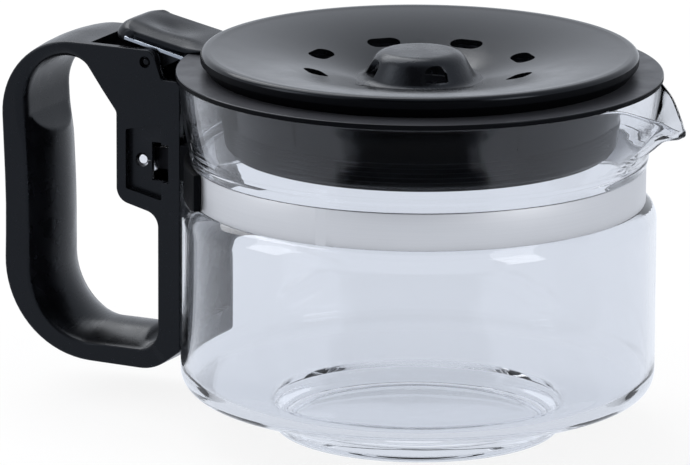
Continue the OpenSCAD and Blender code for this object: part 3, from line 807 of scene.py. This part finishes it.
def make_cap():
    return cut(turned(fine(rounded(CAP), 0.8), EVEN), *[port_cutter(angle) for angle in PORT_ANGLES])


piece("cap_boss", make_cap(), GRAINED, "lid", "black_plastic", "drip_cap")

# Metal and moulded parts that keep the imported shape, with their edges rounded

# The clamp plate's front edge and how far it is drawn on, and where the band's ears start
PLATE_FRONT, PLATE_MORE, EARS_FROM = -85.8, 1.0, -70.5
DRESSED = [
    ("steel_band", "neck_band", SATIN, "jug", "satin_steel", 0.12, 2),
    ("clamp_shoe", "band_shoe", SHOE, "jug", "black_plastic", 0.3, 2),
    ("clamp_plate", "recess_plate", BLACK, "jug", "black_plastic", 0.15, 2),
    ("clamp_screw", "cross_screw", BRIGHT, "jug", "bright_steel", 0.2, 2),
    ("clamp_nut", "square_nut", SHADED_NUT_STEEL, "jug", "bright_steel", 0.2, 2),
    ("hinge_pin", "hinge_pin_rod", COLLAR, "jug", "black_plastic", 0.7, 4),
]
for node, name, mat, body, slot, radius, steps in DRESSED:
    dressed = piece(name, from_cad(node, radius, steps), mat, body, slot, node)
    if node == "clamp_plate":
        # its front edge reaches to the nut's side
        for vert in dressed.data.vertices:
            if vert.co.x > PLATE_FRONT * MM:
                vert.co.x += PLATE_MORE * MM
    if node == "steel_band":
        # the ears that the clamp pulls together lie deep in the bracket and are coloured black as painted
        # shade
        dressed.data.materials.append(SHADED_EAR_STEEL)
        for face in dressed.data.polygons:
            if face.center.x < EARS_FROM * MM:
                face.material_index = 1


# Studio: a pale floor, soft lamps and a white surround

WHITE, COOL = (1.0, 1.0, 1.0), (0.95, 1.0, 1.09)
THROUGH_GLASS = 0.745
# The surround's light on matt faces, the floor's colour, and how far that is lifted to white where it is seen
FILL_COLOUR, FILL_LEVEL = (0.95, 0.97, 1.0, 1), 0.5
FLOOR_COLOUR, FLOOR_WHITE, FLOOR_RADIUS = (0.94, 0.94, 0.95, 1), 0.88, 4.0
CARD_BLACK = (0.002, 0.002, 0.002, 1)


def surround(tree):
    """Which rays see the background, straight, mirrored or through glass, and how bright and cool it is."""
    path = add(tree, "ShaderNodeLightPath")
    first = add(tree, "ShaderNodeMath", operation="ADD", use_clamp=True)
    link(tree, path.outputs["Is Camera Ray"], first.inputs[0])
    link(tree, path.outputs["Is Glossy Ray"], first.inputs[1])
    both = add(tree, "ShaderNodeMath", operation="ADD", use_clamp=True)
    link(tree, first.outputs[0], both.inputs[0])
    link(tree, path.outputs["Is Transmission Ray"], both.inputs[1])
    level = spread(tree, path.outputs["Is Transmission Ray"], 1.0, THROUGH_GLASS, 0.0, 1.0)
    colour = blend_colour(tree, path.outputs["Is Camera Ray"], COOL, WHITE)
    return both.outputs[0], level, colour


def make_world():
    world = bpy.data.worlds.new("studio_surround")
    world.use_nodes = True
    tree = world.node_tree
    tree.nodes.clear()
    seen, level, colour = surround(tree)
    fill = add(tree, "ShaderNodeBackground")
    fill.inputs["Color"].default_value = FILL_COLOUR
    fill.inputs["Strength"].default_value = FILL_LEVEL
    white = add(tree, "ShaderNodeBackground")
    link(tree, colour, white.inputs["Color"])
    link(tree, level, white.inputs["Strength"])
    mix = add(tree, "ShaderNodeMixShader")
    link(tree, seen, mix.inputs[0])
    link(tree, fill.outputs[0], mix.inputs[1])
    link(tree, white.outputs[0], mix.inputs[2])
    out = add(tree, "ShaderNodeOutputWorld")
    link(tree, mix.outputs[0], out.inputs["Surface"])
    SCENE.world = world


def stage_mesh(name, bm, mat):
    mesh = bpy.data.meshes.new(name)
    bm.to_mesh(mesh)
    bm.free()
    mesh.materials.append(mat)
    obj = bpy.data.objects.new(name, mesh)
    SCENE.collection.objects.link(obj)
    return obj


def make_floor():
    mat, tree = new_material("pale_floor")
    seen, level, colour = surround(tree)
    diffuse = add(tree, "ShaderNodeBsdfDiffuse")
    diffuse.inputs["Color"].default_value = FLOOR_COLOUR
    white = add(tree, "ShaderNodeEmission")
    link(tree, colour, white.inputs["Color"])
    link(tree, level, white.inputs["Strength"])
    share = add(tree, "ShaderNodeMath", operation="MULTIPLY")
    share.inputs[1].default_value = FLOOR_WHITE
    link(tree, seen, share.inputs[0])
    mix = add(tree, "ShaderNodeMixShader")
    link(tree, share.outputs[0], mix.inputs[0])
    link(tree, diffuse.outputs[0], mix.inputs[1])
    link(tree, white.outputs[0], mix.inputs[2])
    finish_material(tree, mix)
    bm = bmesh.new()
    bmesh.ops.create_circle(bm, cap_ends=True, segments=96, radius=FLOOR_RADIUS)
    stage_mesh("studio_floor", bm, mat)


def black_card(name, sharp):
    """Black that only shows in the glass's sharp reflections or in soft ones, as strong as its shade."""
    mat, tree = new_material(name)
    path = add(tree, "ShaderNodeLightPath")
    clear = add(tree, "ShaderNodeBsdfTransparent")
    black = add(tree, "ShaderNodeBsdfDiffuse")
    black.inputs["Color"].default_value = CARD_BLACK
    mix = add(tree, "ShaderNodeMixShader")
    bounced = add(tree, "ShaderNodeMath", operation="GREATER_THAN")
    bounced.inputs[1].default_value = 0.5
    link(tree, path.outputs["Glossy Depth"], bounced.inputs[0])
    soft_level, sharp_level = (0.0, 1.0) if sharp else (1.0, 0.0)
    kind = spread(tree, path.outputs["Is Singular Ray"], soft_level, sharp_level, 0.0, 1.0)
    meant = add(tree, "ShaderNodeMath", operation="MULTIPLY")
    link(tree, bounced.outputs[0], meant.inputs[0])
    link(tree, kind, meant.inputs[1])
    shade = add(tree, "ShaderNodeAttribute", attribute_name="shade")
    both = add(tree, "ShaderNodeMath", operation="MULTIPLY")
    link(tree, meant.outputs[0], both.inputs[0])
    link(tree, shade.outputs["Fac"], both.inputs[1])
    link(tree, both.outputs[0], mix.inputs[0])
    link(tree, clear.outputs[0], mix.inputs[1])
    link(tree, black.outputs[0], mix.inputs[2])
    finish_material(tree, mix)
    return mat


def make_card(name, place, mat, rows=50, columns=100):
    """A soft-edged card; place(down, across) gives a point of it and its shade, from 0 to 1 along each."""
    bm = bmesh.new()
    layer = bm.verts.layers.float.new("shade")
    grid = []
    for i in range(rows + 1):
        grid.append([])
        for k in range(columns + 1):
            point, shade = place(i / rows, k / columns)
            vert = bm.verts.new(point)
            vert[layer] = min(1.0, max(0.0, shade))
            grid[-1].append(vert)
    for one, two in zip(grid, grid[1:]):
        for k in range(columns):
            bm.faces.new((one[k], two[k], two[k + 1], one[k + 1]))
    card = stage_mesh(name, bm, mat)
    card.visible_camera = card.visible_diffuse = card.visible_shadow = False


# The floor card: its middle, half spread and soft edge in degrees round the jug, its reach in metres, and by
# distance its half width in degrees and its shade
FLOOR_MIDDLE, FLOOR_SPREAD, FLOOR_SOFT, FLOOR_LIFT = -67.0, 60.0, 4.5, 0.002
FLOOR_R = (0.15, 0.47)
FLOOR_HALF = [(0.15, 36.0), (0.20, 33.0), (0.28, 27.0), (0.33, 31.0), (0.40, 34.0), (0.47, 34.0)]
FLOOR_SHADE = [(0.15, 0.0), (0.17, 0.92), (0.30, 0.92), (0.42, 0.92), (0.47, 0.0)]
# Two waves along its edges, each with its height in degrees and its pace
LONG_WAVE, SHORT_WAVE = (1.0, 41.0), (1.6, 90.0)
# The dark room above the camera: its distance, its middle, half width and soft edge, its lowest and highest
# angle, its shade and where that fades at both ends
ROOM_R, ROOM_MIDDLE, ROOM_HALF, ROOM_SOFT, ROOM_LOW, ROOM_TOP = 1.5, -64.5, 42.0, 12.0, 19.0, 72.0
ROOM_SHADE, ROOM_FADE_LOW, ROOM_FADE_TOP = 0.95, 0.12, 0.8


def floor_place(down, across):
    r = FLOOR_R[0] + (FLOOR_R[1] - FLOOR_R[0]) * down
    turn = FLOOR_SPREAD * (2 * across - 1)
    angle = math.radians(FLOOR_MIDDLE + turn)
    waves = SHORT_WAVE[0] * math.sin(SHORT_WAVE[1] * r) + LONG_WAVE[0] * math.sin(LONG_WAVE[1] * r + turn)
    half = table(FLOOR_HALF, r) + waves
    shade = table(FLOOR_SHADE, r) * ramp(abs(turn), half + FLOOR_SOFT, half - FLOOR_SOFT)
    return (r * math.cos(angle), r * math.sin(angle), FLOOR_LIFT), shade


def room_place(down, across):
    up = math.radians(ROOM_LOW + (ROOM_TOP - ROOM_LOW) * down)
    turn = (2 * across - 1) * (ROOM_HALF + ROOM_SOFT)
    angle = math.radians(ROOM_MIDDLE + turn)
    level = ROOM_R * math.cos(up)
    point = (level * math.cos(angle), level * math.sin(angle), ROOM_R * math.sin(up))
    ends = ramp(down, 0.0, ROOM_FADE_LOW) * ramp(down, 1.0, ROOM_FADE_TOP)
    return point, ROOM_SHADE * ends * ramp(abs(turn), ROOM_HALF + ROOM_SOFT, ROOM_HALF - ROOM_SOFT)


def make_lamp(name, place, aim, size, watts, through_glass=True):
    lamp = bpy.data.lights.new(name, "AREA")
    lamp.shape = "RECTANGLE"
    lamp.size, lamp.size_y = size
    lamp.energy = watts
    obj = bpy.data.objects.new(name, lamp)
    obj.location = place
    obj.rotation_mode = "QUATERNION"
    obj.rotation_quaternion = (Vector(aim) - Vector(place)).to_track_quat("-Z", "Y")
    obj.visible_transmission = through_glass
    SCENE.collection.objects.link(obj)


make_world()
make_floor()
make_card("floor_card", floor_place, black_card("black_floor_card", True))
make_card("dark_room", room_place, black_card("black_room_card", False))
make_lamp("top_softbox", (-0.8, 0.45, 1.3), (-0.08, 0, 0.08), (1.2, 1.2), 17, False)
make_lamp("left_softbox", (-1.05, -0.75, 0.75), (0, 0, 0.08), (0.5, 0.9), 4)
make_lamp("right_softbox", (1.25, -0.25, 0.8), (0, 0, 0.08), (0.5, 0.9), 5)

# Camera, at the photograph's viewing angle
AZIMUTH, ELEVATION, ROLL = math.radians(25.5), math.radians(14.08), math.radians(0.42)
TARGET = Vector((0, 0, 0.058))
DISTANCE = 2.2
FOCAL_PX = 7216.0
OFF_RIGHT_PX, OFF_DOWN_PX = 73.37, 8.85


def make_camera():
    data = bpy.data.cameras.new("photo_camera")
    data.sensor_width = 36.0
    data.lens = FOCAL_PX / PHOTO_W * data.sensor_width
    data.clip_start, data.clip_end = 0.05, 50.0
    back = Vector((math.sin(AZIMUTH) * math.cos(ELEVATION), -math.cos(AZIMUTH) * math.cos(ELEVATION),
                   math.sin(ELEVATION)))
    aim = (-back).to_track_quat("-Z", "Y").to_matrix().to_4x4()
    roll = Matrix.Rotation(ROLL, 4, "Z")
    # turned a little so that the target lies right of and below the middle of the frame
    turn = Matrix.Rotation(math.atan(OFF_RIGHT_PX / FOCAL_PX), 4, "Y")
    tilt = Matrix.Rotation(math.atan(OFF_DOWN_PX / FOCAL_PX), 4, "X")
    obj = bpy.data.objects.new("photo_camera", data)
    obj.matrix_world = Matrix.Translation(TARGET + back * DISTANCE) @ aim @ roll @ turn @ tilt
    SCENE.collection.objects.link(obj)
    SCENE.camera = obj


make_camera()
SCENE.view_settings.view_transform = "Standard"
SCENE.cycles.max_bounces = 40
SCENE.cycles.transmission_bounces = 40
SCENE.cycles.glossy_bounces = 24
